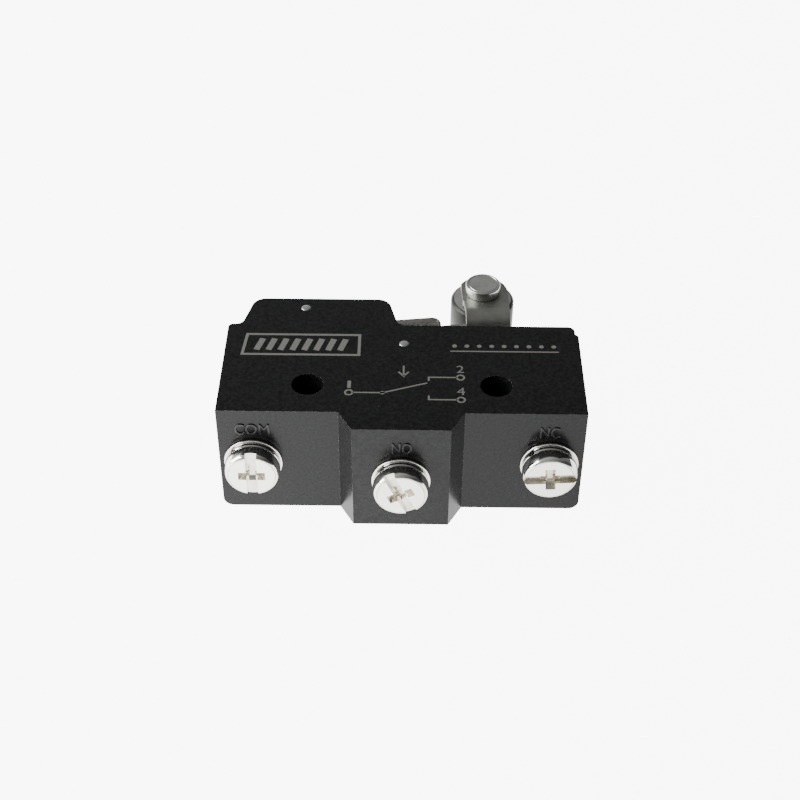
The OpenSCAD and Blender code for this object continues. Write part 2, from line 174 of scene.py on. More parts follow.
def lathe(name, profile, steps=72, closed=False):
    """A turned shape about Z. The profile holds (radius, height) points, from low to high."""
    shell = bmesh.new()
    rings = []
    for radius, height in profile:
        if radius < 1e-9:
            rings.append([shell.verts.new((0, 0, height))])
            continue
        rings.append([
            shell.verts.new((
                radius * math.cos(math.tau * k / steps),
                radius * math.sin(math.tau * k / steps), height))
            for k in range(steps)])
    pairs = list(zip(rings, rings[1:]))
    if closed:
        pairs.append((rings[-1], rings[0]))
    for low, high in pairs:
        for k in range(steps):
            n = (k + 1) % steps
            corners = [low[k % len(low)], low[n % len(low)],
                       high[n % len(high)], high[k % len(high)]]
            ring = list(dict.fromkeys(corners))
            if len(ring) > 2:
                shell.faces.new(ring)
    bmesh.ops.recalc_face_normals(shell, faces=shell.faces)
    mesh = bpy.data.meshes.new(name)
    shell.to_mesh(mesh)
    shell.free()
    smooth(mesh)
    return mesh


def place(mesh, matrix):
    mesh.transform(matrix)
    mesh.update()
    return mesh


# ---------------------------------------------------------------- node helpers
def add_node(tree, kind, settings=None, **inputs):
    """A node with its settings, and its inputs by name: a socket is linked and a value is set."""
    node = tree.nodes.new(kind)
    for key, value in (settings or {}).items():
        setattr(node, key, value)
    for key, value in inputs.items():
        socket = node.inputs[key.replace("_", " ")]
        if isinstance(value, bpy.types.NodeSocket):
            tree.links.new(value, socket)
        else:
            socket.default_value = value
    return node


def shader_group(name, inputs, outputs):
    """An empty shader node group with float inputs, given with their values, and float outputs."""
    tree = bpy.data.node_groups.new(name, "ShaderNodeTree")
    for label, value in inputs.items():
        socket = tree.interface.new_socket(label, in_out="INPUT", socket_type="NodeSocketFloat")
        socket.default_value = value
    for label in outputs:
        tree.interface.new_socket(label, in_out="OUTPUT", socket_type="NodeSocketFloat")
    return tree, tree.nodes.new("NodeGroupInput"), tree.nodes.new("NodeGroupOutput")


def scaled_coordinates(tree, stretch=(1, 1, 1)):
    where = tree.nodes.new("ShaderNodeTexCoord").outputs["Object"]
    return add_node(tree, "ShaderNodeMapping", Vector=where, Scale=stretch).outputs["Vector"]


def math_node(tree, operation, first, second):
    node = tree.nodes.new("ShaderNodeMath")
    node.operation = operation
    for socket, value in zip(node.inputs, (first, second)):
        if isinstance(value, bpy.types.NodeSocket):
            tree.links.new(value, socket)
        else:
            socket.default_value = value
    return node.outputs[0]


def spread(tree, value, low, high):
    """A noise value, which lies mostly between 0.3 and 0.7, spread over a range."""
    return add_node(tree, "ShaderNodeMapRange", Value=value, From_Min=0.3, From_Max=0.7,
                    To_Min=low, To_Max=high).outputs[0]


def build_grain():
    """Fine grain of a moulded or blasted surface, with slow cloudy variation of the sheen."""
    tree, inside, outside = shader_group(
        "surface grain", {"Grain Size": 0.2, "Cloud Size": 6.0}, ("Grain", "Cloud"))
    where = scaled_coordinates(tree)
    for label, size, detail in (("Grain", "Grain Size", 3.0), ("Cloud", "Cloud Size", 2.0)):
        scale = math_node(tree, "DIVIDE", 1 / MM, inside.outputs[size])
        noise = add_node(tree, "ShaderNodeTexNoise", Vector=where, Scale=scale, Detail=detail)
        tree.links.new(noise.outputs[0], outside.inputs[label])
    return tree


def build_flecks():
    """Small light nicks and dust. Share says how many cells of a pattern have one."""
    tree, inside, outside = shader_group(
        "flecks", {"Cell Size": 1.0, "Fleck Size": 0.1, "Share": 0.1}, ("Mask",))
    where = scaled_coordinates(tree)
    scale = math_node(tree, "DIVIDE", 1 / MM, inside.outputs["Cell Size"])
    cells = add_node(tree, "ShaderNodeTexVoronoi", Vector=where, Scale=scale)
    reach = math_node(tree, "DIVIDE", inside.outputs["Fleck Size"], inside.outputs["Cell Size"])
    near = math_node(tree, "LESS_THAN", cells.outputs["Distance"], reach)
    split = add_node(tree, "ShaderNodeSeparateColor", Color=cells.outputs["Color"])
    chosen = math_node(tree, "LESS_THAN", split.outputs[0], inside.outputs["Share"])
    tree.links.new(math_node(tree, "MULTIPLY", near, chosen), outside.inputs["Mask"])
    return tree


def build_rolled():
    """Fine lines along X left by rolling or drawing, and the blotchy tone of worn plating."""
    tree, inside, outside = shader_group(
        "rolled metal", {"Line Size": 0.12, "Blotch Size": 2.5}, ("Line", "Blotch"))
    line_at = scaled_coordinates(tree, (0.04, 1, 1))
    scale = math_node(tree, "DIVIDE", 1 / MM, inside.outputs["Line Size"])
    lines = add_node(tree, "ShaderNodeTexNoise", Vector=line_at, Scale=scale, Detail=4.0)
    blotch_scale = math_node(tree, "DIVIDE", 1 / MM, inside.outputs["Blotch Size"])
    blotch = add_node(tree, "ShaderNodeTexNoise", Vector=scaled_coordinates(tree),
                      Scale=blotch_scale, Detail=5.0, Roughness=0.62)
    tree.links.new(lines.outputs[0], outside.inputs["Line"])
    tree.links.new(blotch.outputs[0], outside.inputs["Blotch"])
    return tree


GRAIN = build_grain()
FLECKS = build_flecks()
ROLLED = build_rolled()


def use_group(tree, group, **inputs):
    node = tree.nodes.new("ShaderNodeGroup")
    node.node_tree = group
    for key, value in inputs.items():
        node.inputs[key.replace("_", " ")].default_value = value
    return node


def blend_colours(tree, factor, first, second):
    """A colour between two others. The Mix node's colours are its inputs 6 and 7 and output 2."""
    mix = tree.nodes.new("ShaderNodeMix")
    mix.data_type = "RGBA"
    tree.links.new(factor, mix.inputs[0])
    for socket, value in ((mix.inputs[6], first), (mix.inputs[7], second)):
        if isinstance(value, bpy.types.NodeSocket):
            tree.links.new(value, socket)
        else:
            socket.default_value = (*value, 1.0)
    return mix.outputs[2]


def start_material(name, metallic, **fixed):
    material = bpy.data.materials.new(name)
    material.use_nodes = True
    tree = material.node_tree
    shader = tree.nodes["Principled BSDF"]
    shader.inputs["Metallic"].default_value = metallic
    for key, value in fixed.items():
        shader.inputs[key.replace("_", " ")].default_value = value
    return material, tree, shader


def add_bump(tree, shader, height, distance):
    bump = add_node(tree, "ShaderNodeBump", Height=height, Distance=distance, Strength=1.0)
    tree.links.new(bump.outputs["Normal"], shader.inputs["Normal"])


# ---------------------------------------------------------------- materials
NICK_COLOUR = (0.22, 0.22, 0.21)


def moulded_plastic(name, dark, light, rough, grain_size, depth, nick_share, sheen=0.21):
    """Thermosetting moulding: fine grain, cloudy sheen and a few light nicks."""
    material, tree, shader = start_material(name, 0.0, IOR=1.5, Specular_IOR_Level=sheen)
    grain = use_group(tree, GRAIN, Grain_Size=grain_size, Cloud_Size=7.0)
    nicks = use_group(tree, FLECKS, Cell_Size=1.6, Fleck_Size=0.045, Share=nick_share)
    tone = blend_colours(tree, spread(tree, grain.outputs["Grain"], 0.0, 1.0), dark, light)
    nicked = blend_colours(tree, nicks.outputs["Mask"], tone, NICK_COLOUR)
    tree.links.new(nicked, shader.inputs["Base Color"])
    cloudy = spread(tree, grain.outputs["Cloud"], rough - 0.04, rough + 0.06)
    tree.links.new(cloudy, shader.inputs["Roughness"])
    add_bump(tree, shader, grain.outputs["Grain"], depth * MM)
    return material


def sheet_metal(name, light, dark, rough, line_size, depth):
    """Rolled, drawn or plated metal: fine lines, blotchy tone and uneven sheen."""
    material, tree, shader = start_material(name, 1.0)
    marks = use_group(tree, ROLLED, Line_Size=line_size, Blotch_Size=2.2)
    tone = blend_colours(tree, spread(tree, marks.outputs["Blotch"], 0.0, 1.0), dark, light)
    tree.links.new(tone, shader.inputs["Base Color"])
    uneven = spread(tree, marks.outputs["Line"], rough - 0.05, rough + 0.08)
    tree.links.new(uneven, shader.inputs["Roughness"])
    add_bump(tree, shader, marks.outputs["Line"], depth * MM)
    return material


def printing_ink():
    """Thin warm grey ink, a little patchy."""
    material, tree, shader = start_material("print ink", 0.0, IOR=1.45)
    grain = use_group(tree, GRAIN, Grain_Size=0.18, Cloud_Size=2.5)
    tone = blend_colours(tree, spread(tree, grain.outputs["Grain"], 0.0, 1.0),
                         (0.12, 0.12, 0.108), (0.2, 0.2, 0.18))
    tree.links.new(tone, shader.inputs["Base Color"])
    tree.links.new(spread(tree, grain.outputs["Cloud"], 0.5, 0.65), shader.inputs["Roughness"])
    add_bump(tree, shader, grain.outputs["Grain"], 0.004 * MM)
    return material


# Plastics: dark and light tone, roughness, grain size and relief in mm, share of nicks, sheen
CASE = moulded_plastic(
    "case phenolic", (0.001, 0.0012, 0.0014), (0.0125, 0.0128, 0.013), 0.21, 0.4, 0.011, 0.1)
COVER = moulded_plastic(
    "cover phenolic", (0.002, 0.002, 0.0022), (0.013, 0.013, 0.013), 0.3, 0.4, 0.011, 0.05)
# Lighter, patchy bevels along the case's edges: partly wear and nicks, partly a painted highlight
# along the edges
WORN_EDGES_AND_HIGHLIGHT = moulded_plastic(
    "worn edges and painted highlight", (0.01, 0.01, 0.01), (0.34, 0.34, 0.33), 0.3, 0.8, 0.006, 0.3, 0.3)
LETTERS = moulded_plastic(
    "raised letters", (0.006, 0.006, 0.006), (0.01, 0.01, 0.01), 0.2, 0.3, 0.003, 0.0, 0.38)
FOOT = moulded_plastic(
    "plunger foot", (0.16, 0.035, 0.02), (0.22, 0.05, 0.03), 0.45, 0.3, 0.006, 0.0)
INK = printing_ink()

# Metals: light and dark tone, roughness, size and relief of the lines in mm
PIN = sheet_metal("pin steel", (0.72, 0.73, 0.74), (0.5, 0.51, 0.52), 0.24, 0.1, 0.002)
LEVER = sheet_metal(
    "lever steel", (0.345, 0.345, 0.323), (0.26, 0.26, 0.243), 0.44, 0.14, 0.005)
SHEARED = sheet_metal("sheared edge", (0.62, 0.62, 0.59), (0.4, 0.4, 0.38), 0.3, 0.1, 0.004)
RIVET = sheet_metal("rivet steel", (0.66, 0.66, 0.63), (0.5, 0.5, 0.475), 0.22, 0.14, 0.002)
ROLLER = sheet_metal("roller steel", (0.6, 0.6, 0.58), (0.45, 0.45, 0.435), 0.3, 0.16, 0.003)
# Rim of the roller: a darker copy of the roller's steel, painted shade on its turned side
ROLLER_RIM_SHADE = sheet_metal(
    "roller rim with painted shade", (0.045, 0.045, 0.042), (0.034, 0.034, 0.032), 0.4, 0.16, 0.004)
RECESS = sheet_metal("recess nickel", (0.93, 0.9, 0.82), (0.5, 0.46, 0.36), 0.26, 0.4, 0.012)
NICKEL = sheet_metal("screw nickel", (0.99, 0.985, 0.955), (0.9, 0.89, 0.85), 0.12, 0.4, 0.002)
WASHER = sheet_metal("washer nickel", (0.88, 0.87, 0.84), (0.72, 0.71, 0.67), 0.14, 0.3, 0.002)
BRASS = sheet_metal("terminal brass", (0.78, 0.58, 0.27), (0.6, 0.42, 0.18), 0.26, 0.15, 0.002)
COPPER = sheet_metal("spring copper", (0.78, 0.42, 0.24), (0.6, 0.3, 0.16), 0.24, 0.12, 0.002)
SILVER = sheet_metal("contact silver", (0.9, 0.9, 0.88), (0.75, 0.75, 0.73), 0.2, 0.15, 0.001)
BUSH = sheet_metal("bush brass", (0.72, 0.55, 0.3), (0.5, 0.37, 0.18), 0.3, 0.2, 0.002)

# ---------------------------------------------------------------- case and cover
# The case's rounded edges take the lighter edge plastic, partly wear, partly a painted highlight
case_body = soften_copy("case_shell", "case_moulding", EDGE_WIDTH, CASE, WORN_EDGES_AND_HIGHLIGHT)
finish_piece(case_body, "case", None, ["case_shell"])
cover_body = soften_copy("back_cover", "cover_moulding", EDGE_WIDTH, COVER, COVER)
finish_piece(cover_body, "case", None, ["back_cover"])


# ---------------------------------------------------------------- terminal screws
def screw_sizes(name):
    """Sizes of one terminal's screw and washers, and the place of its face, from their boxes."""
    flat_low, flat_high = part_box(name + "_flat_washer")
    spring_low, spring_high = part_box(name + "_spring_washer")
    low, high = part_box(name + "_screw")
    centre = (flat_low + flat_high) / 2
    face_at = Matrix.Translation((centre.x, flat_high.y, centre.z))
    return {
        "face": face_at @ Matrix.Rotation(math.pi / 2, 4, "X"),
        "flat": flat_high.y - flat_low.y,
        "spring": spring_high.y - spring_low.y,
        "washer_d": flat_high.x - flat_low.x,
        "spring_d": spring_high.z - spring_low.z,
        "head_d": high.z - low.z,
        "head_h": spring_low.y - low.y,
        "shank": high.y - spring_low.y,
    }


def begin_tree(name, inputs):
    """An empty Geometry Nodes tree with a Geometry input and output and named inputs."""
    tree = bpy.data.node_groups.new(name, "GeometryNodeTree")
    tree.interface.new_socket("Geometry", in_out="INPUT", socket_type="NodeSocketGeometry")
    for label, kind in inputs.items():
        tree.interface.new_socket(label, in_out="INPUT", socket_type="NodeSocket" + kind)
    tree.interface.new_socket("Geometry", in_out="OUTPUT", socket_type="NodeSocketGeometry")
    return tree, tree.nodes.new("NodeGroupInput"), tree.nodes.new("NodeGroupOutput")


def end_tree(tree, shape, material_socket, outside):
    """Realizes a tree's shape, gives it its material and ends the tree."""
    real = add_node(tree, "GeometryNodeRealizeInstances", Geometry=shape)
    painted = add_node(tree, "GeometryNodeSetMaterial", Geometry=real.outputs[0],
                       Material=material_socket)
    tree.links.new(painted.outputs[0], outside.inputs[0])


def vector_of(tree, x=0.0, y=0.0, z=0.0):
    return add_node(tree, "ShaderNodeCombineXYZ", X=x, Y=y, Z=z).outputs[0]


def build_screw_tree():
    """Cuts the slot and the tapered cross into a turned blank, and winds a thread on its shank."""
    floats = ("Head Top", "Slot Width", "Slot Depth", "Cross Length", "Cross Width", "Cross Depth",
              "Middle Width", "Turn", "Head Diameter", "Thread Diameter", "Thread Pitch",
              "Thread Depth", "Thread Turns", "Thread Low")
    tree, inside, outside = begin_tree(
        "terminal screw", {**dict.fromkeys(floats, "Float"), "Material": "Material"})
    size = inside.outputs
    beyond_head = 1.4       # length of the slot's cutter against the head's diameter
    wing_taper = 0.45       # width of a wing at its bottom against its top
    beyond_top = 1.25       # height of the cross's cutters against the depth that they cut
    ridge_size = 0.52       # radius of the thread's ridge against the thread's depth

    slot_size = vector_of(tree, math_node(tree, "MULTIPLY", size["Head Diameter"], beyond_head),
                          size["Slot Width"], math_node(tree, "MULTIPLY", size["Slot Depth"], 2.0))
    slot = add_node(tree, "GeometryNodeMeshCube", Size=slot_size)
    cutters = [add_node(tree, "GeometryNodeTransform", Geometry=slot.outputs["Mesh"],
                        Translation=vector_of(tree, z=size["Head Top"]),
                        Rotation=vector_of(tree, z=size["Turn"])).outputs[0]]
    # A wing of the cross is a four-sided cone with a flat end, stretched to its length and width
    wing = add_node(tree, "GeometryNodeMeshCone", Vertices=4, Radius_Top=math.sqrt(0.5),
                    Radius_Bottom=math.sqrt(0.5) * wing_taper, Depth=1.0)
    square = add_node(tree, "GeometryNodeTransform", Geometry=wing.outputs["Mesh"],
                      Rotation=(0, 0, math.pi / 4))
    depth = math_node(tree, "MULTIPLY", size["Cross Depth"], beyond_top)
    wing_size = vector_of(tree, size["Cross Length"], size["Cross Width"], depth)
    wing_at = math_node(tree, "SUBTRACT", size["Head Top"], size["Cross Depth"])
    middle_size = vector_of(tree, size["Middle Width"], size["Middle Width"], depth)
    for shape_size, angle in (
            (wing_size, 0.0), (wing_size, math.pi / 2), (middle_size, math.pi / 4)):
        turn = math_node(tree, "ADD", size["Turn"], angle)
        cutters.append(add_node(
            tree, "GeometryNodeTransform", Geometry=square.outputs[0],
            Translation=vector_of(tree, z=wing_at), Rotation=vector_of(tree, z=turn),
            Scale=shape_size).outputs[0])
    cut = tree.nodes.new("GeometryNodeMeshBoolean")
    cut.operation = "DIFFERENCE"
    cut.solver = "EXACT"
    tree.links.new(size["Geometry"], cut.inputs[0])
    for cutter in cutters:
        tree.links.new(cutter, cut.inputs[1])
    # The thread is a six-sided ridge swept along a helix, standing on the core of the shank
    height = math_node(tree, "MULTIPLY", size["Thread Turns"], size["Thread Pitch"])
    mean = math_node(tree, "SUBTRACT", math_node(tree, "MULTIPLY", size["Thread Diameter"], 0.5),
                     math_node(tree, "MULTIPLY", size["Thread Depth"], 0.5))
    helix = add_node(tree, "GeometryNodeCurveSpiral", Resolution=28, Rotations=size["Thread Turns"],
                     Start_Radius=mean, End_Radius=mean, Height=height)
    ridge = add_node(tree, "GeometryNodeCurvePrimitiveCircle", Resolution=6,
                     Radius=math_node(tree, "MULTIPLY", size["Thread Depth"], ridge_size))
    wound = add_node(tree, "GeometryNodeCurveToMesh", Curve=helix.outputs[0],
                     Profile_Curve=ridge.outputs[0], Fill_Caps=True)
    thread = add_node(tree, "GeometryNodeTransform", Geometry=wound.outputs[0],
                      Translation=vector_of(tree, z=size["Thread Low"]))
    joined = tree.nodes.new("GeometryNodeJoinGeometry")
    tree.links.new(thread.outputs[0], joined.inputs[0])
    tree.links.new(cut.outputs[0], joined.inputs[0])
    end_tree(tree, joined.outputs[0], size["Material"], outside)
    return tree


def build_spring_tree():
    """A split ring with square ends and a slight rise, as a spring washer."""
    floats = ("Outer Diameter", "Inner Diameter", "Thickness", "Rise", "Opening", "Turn", "Low")
    tree, inside, outside = begin_tree(
        "spring washer", {**dict.fromkeys(floats, "Float"), "Material": "Material"})
    size = inside.outputs
    total = math_node(tree, "ADD", size["Outer Diameter"], size["Inner Diameter"])
    mean = math_node(tree, "MULTIPLY", total, 0.25)
    across = math_node(tree, "SUBTRACT", size["Outer Diameter"], size["Inner Diameter"])
    width = math_node(tree, "MULTIPLY", across, 0.5)
    ring = add_node(tree, "GeometryNodeCurveSpiral", Resolution=96,
                    Rotations=math_node(tree, "SUBTRACT", 1.0, size["Opening"]),
                    Start_Radius=mean, End_Radius=mean, Height=size["Rise"])
    upright = add_node(tree, "GeometryNodeSetCurveNormal", {"mode": "Z_UP"}, Curve=ring.outputs[0])
    bar = add_node(tree, "GeometryNodeCurvePrimitiveQuadrilateral", Width=width,
                   Height=size["Thickness"])
    softened = add_node(tree, "GeometryNodeFilletCurve", Radius=0.12 * MM, Curve=bar.outputs[0])
    swept = add_node(tree, "GeometryNodeCurveToMesh", Curve=upright.outputs[0],
                     Profile_Curve=softened.outputs[0], Fill_Caps=True)
    seated = add_node(tree, "GeometryNodeTransform", Geometry=swept.outputs[0],
                      Translation=vector_of(tree, z=size["Low"]),
                      Rotation=vector_of(tree, z=size["Turn"]))
    end_tree(tree, seated.outputs[0], size["Material"], outside)
    return tree


def run_tree(piece, tree, **inputs):
    """Runs a Geometry Nodes tree on a piece with these inputs, and leaves a plain mesh."""
    modifier = piece.modifiers.new(tree.name, "NODES")
    modifier.node_group = tree
    for item in tree.interface.items_tree:
        label = item.name.replace(" ", "_")
        if item.in_out == "INPUT" and label in inputs:
            modifier[item.identifier] = inputs[label]
    return settle(piece)


def screw_blank(sizes):
    """Turned blank of a screw: shank, and head with rounded edges. Z points out of the face."""
    low = sizes["flat"] + sizes["spring"]
    top = low + sizes["head_h"]
    radius = sizes["head_d"] / 2
    core = THREAD_D / 2 - THREAD_DEPTH
    end = low - sizes["shank"]
    point = 0.35 * MM
    edge = 0.6 * MM
    taper = 0.15 * MM
    base_edge = 0.15 * MM
    profile = [(0, end), (core - point, end), (core, end + point), (core, low)]
    profile += arc((radius - base_edge, low + base_edge), base_edge, -90, 0, 3)
    profile += arc((radius - taper - edge, top - edge), edge, 12, 90, 8)
    profile += [(0, top)]
    return lathe("screw blank", profile)


def washer_ring(outer, inner, low, high):
    """A flat washer with rounded outer edges, as a punched one has."""
    edge = 0.14 * MM
    profile = [(inner, low), (outer - edge, low)]
    profile += arc((outer - edge, low + edge), edge, -90, 0, 4)
    profile += arc((outer - edge, high - edge), edge, 0, 90, 4)
    profile += [(inner, high)]
    return lathe("washer", profile, closed=True)


SCREW_TREE = build_screw_tree()
SPRING_TREE = build_spring_tree()
SLOT = {"Slot_Width": 1.5 * MM, "Slot_Depth": 0.7 * MM, "Cross_Length": 4.1 * MM,
        "Cross_Width": 1.5 * MM, "Cross_Depth": 1.3 * MM, "Middle_Width": 2.0 * MM}


def add_screw(name, sizes):
    """A terminal screw, with its recess painted in a tone of its own."""
    stack = sizes["flat"] + sizes["spring"]
    thread_low = stack - sizes["shank"] + THREAD_START
    screw = add_object(name + "_terminal_screw", screw_blank(sizes))
    screw = run_tree(
        screw, SCREW_TREE, Head_Top=stack + sizes["head_h"], Turn=math.radians(SCREW_TURN[name]),
        Head_Diameter=sizes["head_d"], Thread_Diameter=THREAD_D, Thread_Pitch=THREAD_PITCH,
        Thread_Depth=THREAD_DEPTH, Thread_Turns=(stack - THREAD_STOP - thread_low) / THREAD_PITCH,
        Thread_Low=thread_low, Material=NICKEL, **SLOT)
    smooth(screw.data, 30)
    place(screw.data, sizes["face"])
    finish_piece(screw, name + "_screw", NICKEL, [name + "_screw"])
    low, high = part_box(name + "_screw")
    axis = (low + high) / 2
    below_face = low.y + 0.01 * MM
    above_base = low.y + sizes["head_h"] - 0.05 * MM
    inside_r = sizes["head_d"] / 2 - RECESS_MARGIN
    paint_faces(screw, RECESS, lambda at, normal: (
        below_face < at.y < above_base
        and math.hypot(at.x - axis.x, at.z - axis.z) < inside_r))


def add_washers(name, sizes):
    """The flat washer and the spring washer of a terminal."""
    flat = add_object(name + "_plain_washer",
                      washer_ring(sizes["washer_d"] / 2, WASHER_BORE / 2, 0, sizes["flat"]))
    place(flat.data, sizes["face"])
    finish_piece(flat, name + "_washers", WASHER, [name + "_flat_washer"])

    split = add_object(name + "_split_washer", bpy.data.meshes.new("split washer"))
    split = run_tree(
        split, SPRING_TREE, Outer_Diameter=sizes["spring_d"], Inner_Diameter=WASHER_BORE,
        Thickness=sizes["spring"] - SPRING_RISE, Rise=SPRING_RISE, Opening=SPRING_OPENING,
        Turn=math.radians(SPRING_TURN), Low=sizes["flat"] + (sizes["spring"] - SPRING_RISE) / 2,
        Material=WASHER)
    smooth(split.data, 30)
    place(split.data, sizes["face"])
    finish_piece(split, name + "_washers", WASHER, [name + "_spring_washer"])


for name in TERMINALS:
    terminal_sizes = screw_sizes(name)
    add_screw(name, terminal_sizes)
    add_washers(name, terminal_sizes)

# ---------------------------------------------------------------- lever, roller and rivets
lever = soften_copy("lever", "lever_sheet", SHEET_EDGE, LEVER, SHEARED, 24.0)
finish_piece(lever, "lever", None, ["lever"])


def turned_roller():
    """Plain ring with small chamfers at the rim and the bore."""
    low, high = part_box("roller")
    width = high.z - low.z
    radius = (high.y - low.y) / 2
    bore = 1.55 * MM
    bore_chamfer = 0.2 * MM
    chamfer = 0.35 * MM
    soft = 0.1 * MM
    side = width / 2
    half_profile = [
        (bore, side - bore_chamfer), (bore + bore_chamfer, side), (radius - chamfer - soft, side),
        (radius - chamfer, side - soft / 2), (radius - soft / 2, side - chamfer),
        (radius, side - chamfer - soft)]
    profile = [(r, -z) for r, z in half_profile] + [(r, z) for r, z in reversed(half_profile)]
    return place(lathe("roller", profile, 96, closed=True), Matrix.Translation(ROLLER_AXIS))


def turned_rivet():
    """Axle with two like heads, each with a shallow ring groove in its face."""
    low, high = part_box("roller_rivet")
    half = (high.z - low.z) / 2
    head_t = 1.5 * MM
    axle = 1.5 * MM
    radius = (high.x - low.x) / 2
    edge = 0.22 * MM
    under_edge = 0.1 * MM
    groove_r = radius * 0.84
    groove = 0.06 * MM
    upper = [(axle, half - head_t), (radius - under_edge, half - head_t),
             (radius, half - head_t + under_edge)]
    upper += arc((radius - edge, half - edge), edge, 0, 90, 6)
    upper += [(groove_r + groove, half), (groove_r, half - groove), (groove_r - groove, half),
              (0, half)]
    profile = [(r, -z) for r, z in reversed(upper)] + upper
    return place(lathe("rivet", profile, 96), Matrix.Translation(ROLLER_AXIS))


roller = finish_piece(add_object("guide_roller", turned_roller()), "roller", ROLLER,
                      ["roller"])
# The roller's turned side gets the darker rim steel as painted shade; its flat faces keep the
# lighter steel
paint_faces(roller, ROLLER_RIM_SHADE, lambda at, normal: abs(normal.z) < 0.9)
finish_piece(add_object("axle_rivet", turned_rivet()), "lever", RIVET,
             ["roller_rivet"])

for node, name in (("hinge_pin", "hinge_pin_finish"), ("cover_rivet", "cover_rivet_finish")):
    low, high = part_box(node)
    middle = (low + high) / 2
    radius = (high.x - low.x) / 2
    profile = [(0, low.z), (radius - PIN_DOME, low.z), (radius, low.z + PIN_DOME)]
    for degrees in range(0, 91, 10):
        turn = math.radians(degrees)
        profile.append((radius * math.cos(turn), high.z - PIN_DOME + PIN_DOME * math.sin(turn)))
    turned = place(lathe(name, profile, 40), Matrix.Translation((middle.x, middle.y, 0)))
    finish_piece(add_object(name, turned), "case", PIN, [node])

# ---------------------------------------------------------------- hidden works keep their solids
FINISHES = {
    "plunger_bush": BUSH, "com_terminal": BRASS, "no_terminal": BRASS, "nc_terminal": BRASS,
    "blade_rivet": BRASS, "no_contact": SILVER, "nc_contact": SILVER, "moving_contact": SILVER,
    "snap_blade": COPPER, "plunger_pin": PIN, "plunger_foot": FOOT}
for node, material in FINISHES.items():
    for entry in frame["nodes"][node].material_slots:
        entry.material = material


# ---------------------------------------------------------------- lettering
def write_mesh(name, word, width, height, thickness, edge=0.0, bold=0.0):
    """Plain letters as a mesh, centred on the origin, fitted to a width and a height."""
    text = bpy.data.curves.new(name, "FONT")
    text.body = word
    text.size = TEXT_SIZE * height
    text.extrude = thickness / 2 - edge
    text.bevel_depth = edge
    text.bevel_resolution = 3
    text.offset = bold - edge
    text.resolution_u = 6
    letters = bpy.data.objects.new(name, text)
    bpy.context.scene.collection.objects.link(letters)
    letters = settle(letters)
    corners = [Vector(corner) for corner in letters.bound_box]
    size = corners[6] - corners[0]
    fit = Matrix.Diagonal((width / size.x, height / size.y, 1, 1))
    place(letters.data, fit @ Matrix.Translation(-(corners[0] + corners[6]) / 2))
    return letters


def raised_word(word, name, centre_x, centre_z, width, face_y):
    """The plain name of a contact, moulded on its terminal face."""
    letters = write_mesh(
        name, word, width, LETTER_H, 2 * LETTER_RAISED, LETTER_EDGE, LETTER_BOLD)
    upright = Matrix.Rotation(math.pi / 2, 4, "X")
    place(letters.data, Matrix.Translation((centre_x, face_y, centre_z)) @ upright)
    finish_piece(letters, "case", LETTERS)


SIDE_FACE = screw_sizes("com")["face"].translation.y
MID_FACE = screw_sizes("no")["face"].translation.y
raised_word("COM", "com_letters", -19.9 * MM, 14.25 * MM, 4.65 * MM, SIDE_FACE)
raised_word("NO", "no_letters", 0.1 * MM, 14.2 * MM, 2.65 * MM, MID_FACE)
raised_word("NC", "nc_letters", 19.8 * MM, 14.2 * MM, 2.65 * MM, SIDE_FACE)


# ---------------------------------------------------------------- generic print on the face
def add_ribbon(shell, points, width, closed=False):
    """A flat printed line with mitred corners, in millimetres on the face."""
    count = len(points)
    left, right = [], []
    for i, point in enumerate(points):
        here = Vector(point)
        before = Vector(points[(i - 1) % count]) if closed or i > 0 else None
        after = Vector(points[(i + 1) % count]) if closed or i < count - 1 else None
        into = (here - before).normalized() if before else (after - here).normalized()
        out = (after - here).normalized() if after else into
        bend = (into + out).normalized()
        across = Vector((-bend.y, bend.x)) * (width / 2 / max(0.35, bend.dot(into)))
        left.append(here + across)
        right.append(here - across)
    steps = count if closed else count - 1
    for i in range(steps):
        n = (i + 1) % count
        corners = [right[i], right[n], left[n], left[i]]
        shell.faces.new([shell.verts.new((c.x * MM, c.y * MM, 0)) for c in corners])


def circle_points(centre, radius, steps):
    return [(centre[0] + radius * math.cos(math.tau * k / steps),
             centre[1] + radius * math.sin(math.tau * k / steps)) for k in range(steps)]


def add_dot(shell, centre):
    ring = circle_points(centre, DOT_RADIUS, 20)
    shell.faces.new([shell.verts.new((x * MM, y * MM, 0)) for x, y in ring])


def print_piece(name, shell):
    """Raises drawn shapes off the face by the ink's thickness, as a closed thin solid."""
    bmesh.ops.remove_doubles(shell, verts=shell.verts, dist=PRINT_WELD)
    bmesh.ops.recalc_face_normals(shell, faces=shell.faces)
    for face in shell.faces:
        if face.normal.z < 0:
            face.normal_flip()
    raised = bmesh.ops.extrude_face_region(shell, geom=shell.faces[:], use_keep_orig=True)
    top = [item for item in raised["geom"] if isinstance(item, bmesh.types.BMVert)]
    bmesh.ops.translate(shell, verts=top, vec=(0, 0, INK_RAISED))
    bmesh.ops.recalc_face_normals(shell, faces=shell.faces)
    mesh = bpy.data.meshes.new(name)
    shell.to_mesh(mesh)
    shell.free()
    place(mesh, Matrix.Translation((0, 0, FACE_Z)))
    finish_piece(add_object(name, mesh), "case", INK)


def numeral(digit, x, y, width, height):
    """A plain printed numeral, in millimetres on the face."""
    mark = write_mesh("print_numeral_" + digit, digit, width * MM, height * MM, INK_RAISED)
    place(mark.data, Matrix.Translation((x * MM, y * MM, FACE_Z + INK_RAISED / 2)))
    finish_piece(mark, "case", INK)


